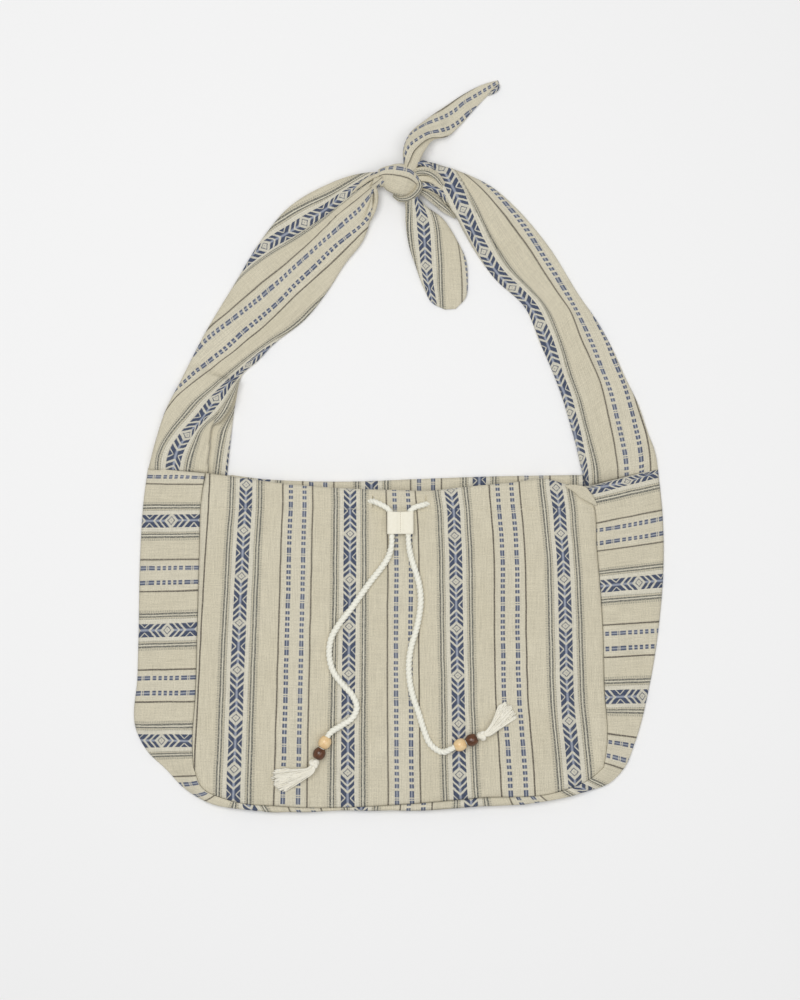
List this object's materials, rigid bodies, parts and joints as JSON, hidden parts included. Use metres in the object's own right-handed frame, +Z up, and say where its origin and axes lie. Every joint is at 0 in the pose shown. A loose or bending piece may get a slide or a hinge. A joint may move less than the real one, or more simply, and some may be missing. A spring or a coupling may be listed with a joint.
{
  "type": "drawstring sling bag",
  "caption": "Striped woven cotton shoulder bag laid flat, with tied cloth straps and a drawstring mouth closed by a slider, wooden beads and tassels.",
  "frame": {"origin": "centre of the bag's bounding box on the surface it lies on", "axes": "+Y from the bag's bottom towards the knot of the straps, +Z up out of the front panel, +X to the right as seen from the front"},
  "size_m": [0.4356, 0.6017, 0.0261],
  "materials": {
    "striped_cloth": "matt woven cotton",
    "strap_cloth": "matt woven cotton",
    "cotton_cord": "matt twisted cotton",
    "slider_cloth": "matt cotton",
    "light_wood": "satin",
    "dark_wood": "satin"
  },
  "bodies": {
    "bag": {"back_panel": "striped_cloth", "front_panel": "striped_cloth", "gusset": "striped_cloth", "left_strap": "strap_cloth", "right_strap": "strap_cloth", "drawstring_in_casing": "cotton_cord", "drawstring_left_end": "cotton_cord", "drawstring_right_end": "cotton_cord", "left_tassel": "cotton_cord", "right_tassel": "cotton_cord"},
    "slider": {"cord_slider": "slider_cloth"},
    "left_light_bead": {"left_light_bead": "light_wood"},
    "left_dark_bead": {"left_dark_bead": "dark_wood"},
    "right_light_bead": {"right_light_bead": "light_wood"},
    "right_dark_bead": {"right_dark_bead": "dark_wood"}
  },
  "joints": [
    {"name": "slider_slide", "type": "slide", "parent": "bag", "child": "slider", "axis": [0, -1, 0], "range_m": [0, 0.007]},
    {"name": "left_light_bead_spin", "type": "hinge", "parent": "bag", "child": "left_light_bead", "pos_m": [-0.061, -0.2425, 0.019], "axis": [-0.447, -0.894, -0.03], "continuous": true},
    {"name": "left_dark_bead_spin", "type": "hinge", "parent": "bag", "child": "left_dark_bead", "pos_m": [-0.0656, -0.25171, 0.01869], "axis": [-0.447, -0.894, -0.03], "continuous": true},
    {"name": "right_light_bead_spin", "type": "hinge", "parent": "bag", "child": "right_light_bead", "pos_m": [0.0495, -0.2445, 0.019], "axis": [0.9217, 0.3879, -0.01], "continuous": true},
    {"name": "right_dark_bead_spin", "type": "hinge", "parent": "bag", "child": "right_dark_bead", "pos_m": [0.05899, -0.2405, 0.0189], "axis": [0.9217, 0.3879, -0.01], "continuous": true}
  ]
}
